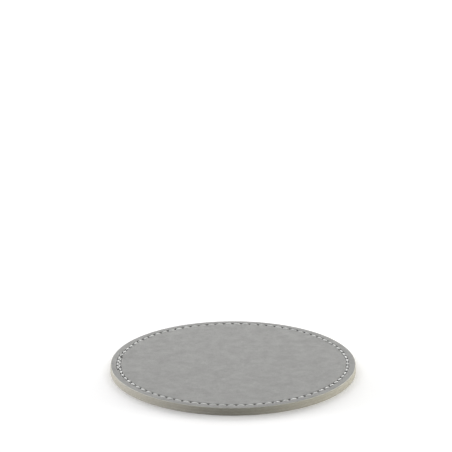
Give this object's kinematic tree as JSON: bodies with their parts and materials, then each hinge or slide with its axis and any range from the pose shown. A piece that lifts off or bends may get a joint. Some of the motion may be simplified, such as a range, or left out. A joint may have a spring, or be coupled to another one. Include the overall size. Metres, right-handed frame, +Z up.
{
  "type": "drink coaster",
  "caption": "Round flat coaster: leatherette discs over a stiffening board, sewn together around the rim, for a drink to stand on.",
  "frame": {"origin": "centre of the underside, on the surface the coaster lies on", "axes": "+Z up through the disc, out of the face the drink stands on; -X towards the place where the seam closes"},
  "size_m": [0.1, 0.1, 0.0034],
  "materials": {
    "leatherette": "matte",
    "board": "matte",
    "thread": "matte"
  },
  "bodies": {
    "root": {"top_cover": "leatherette", "core_board": "board", "base_cover": "leatherette", "needle_thread": "thread", "bobbin_thread": "thread"}
  },
  "joints": []
}
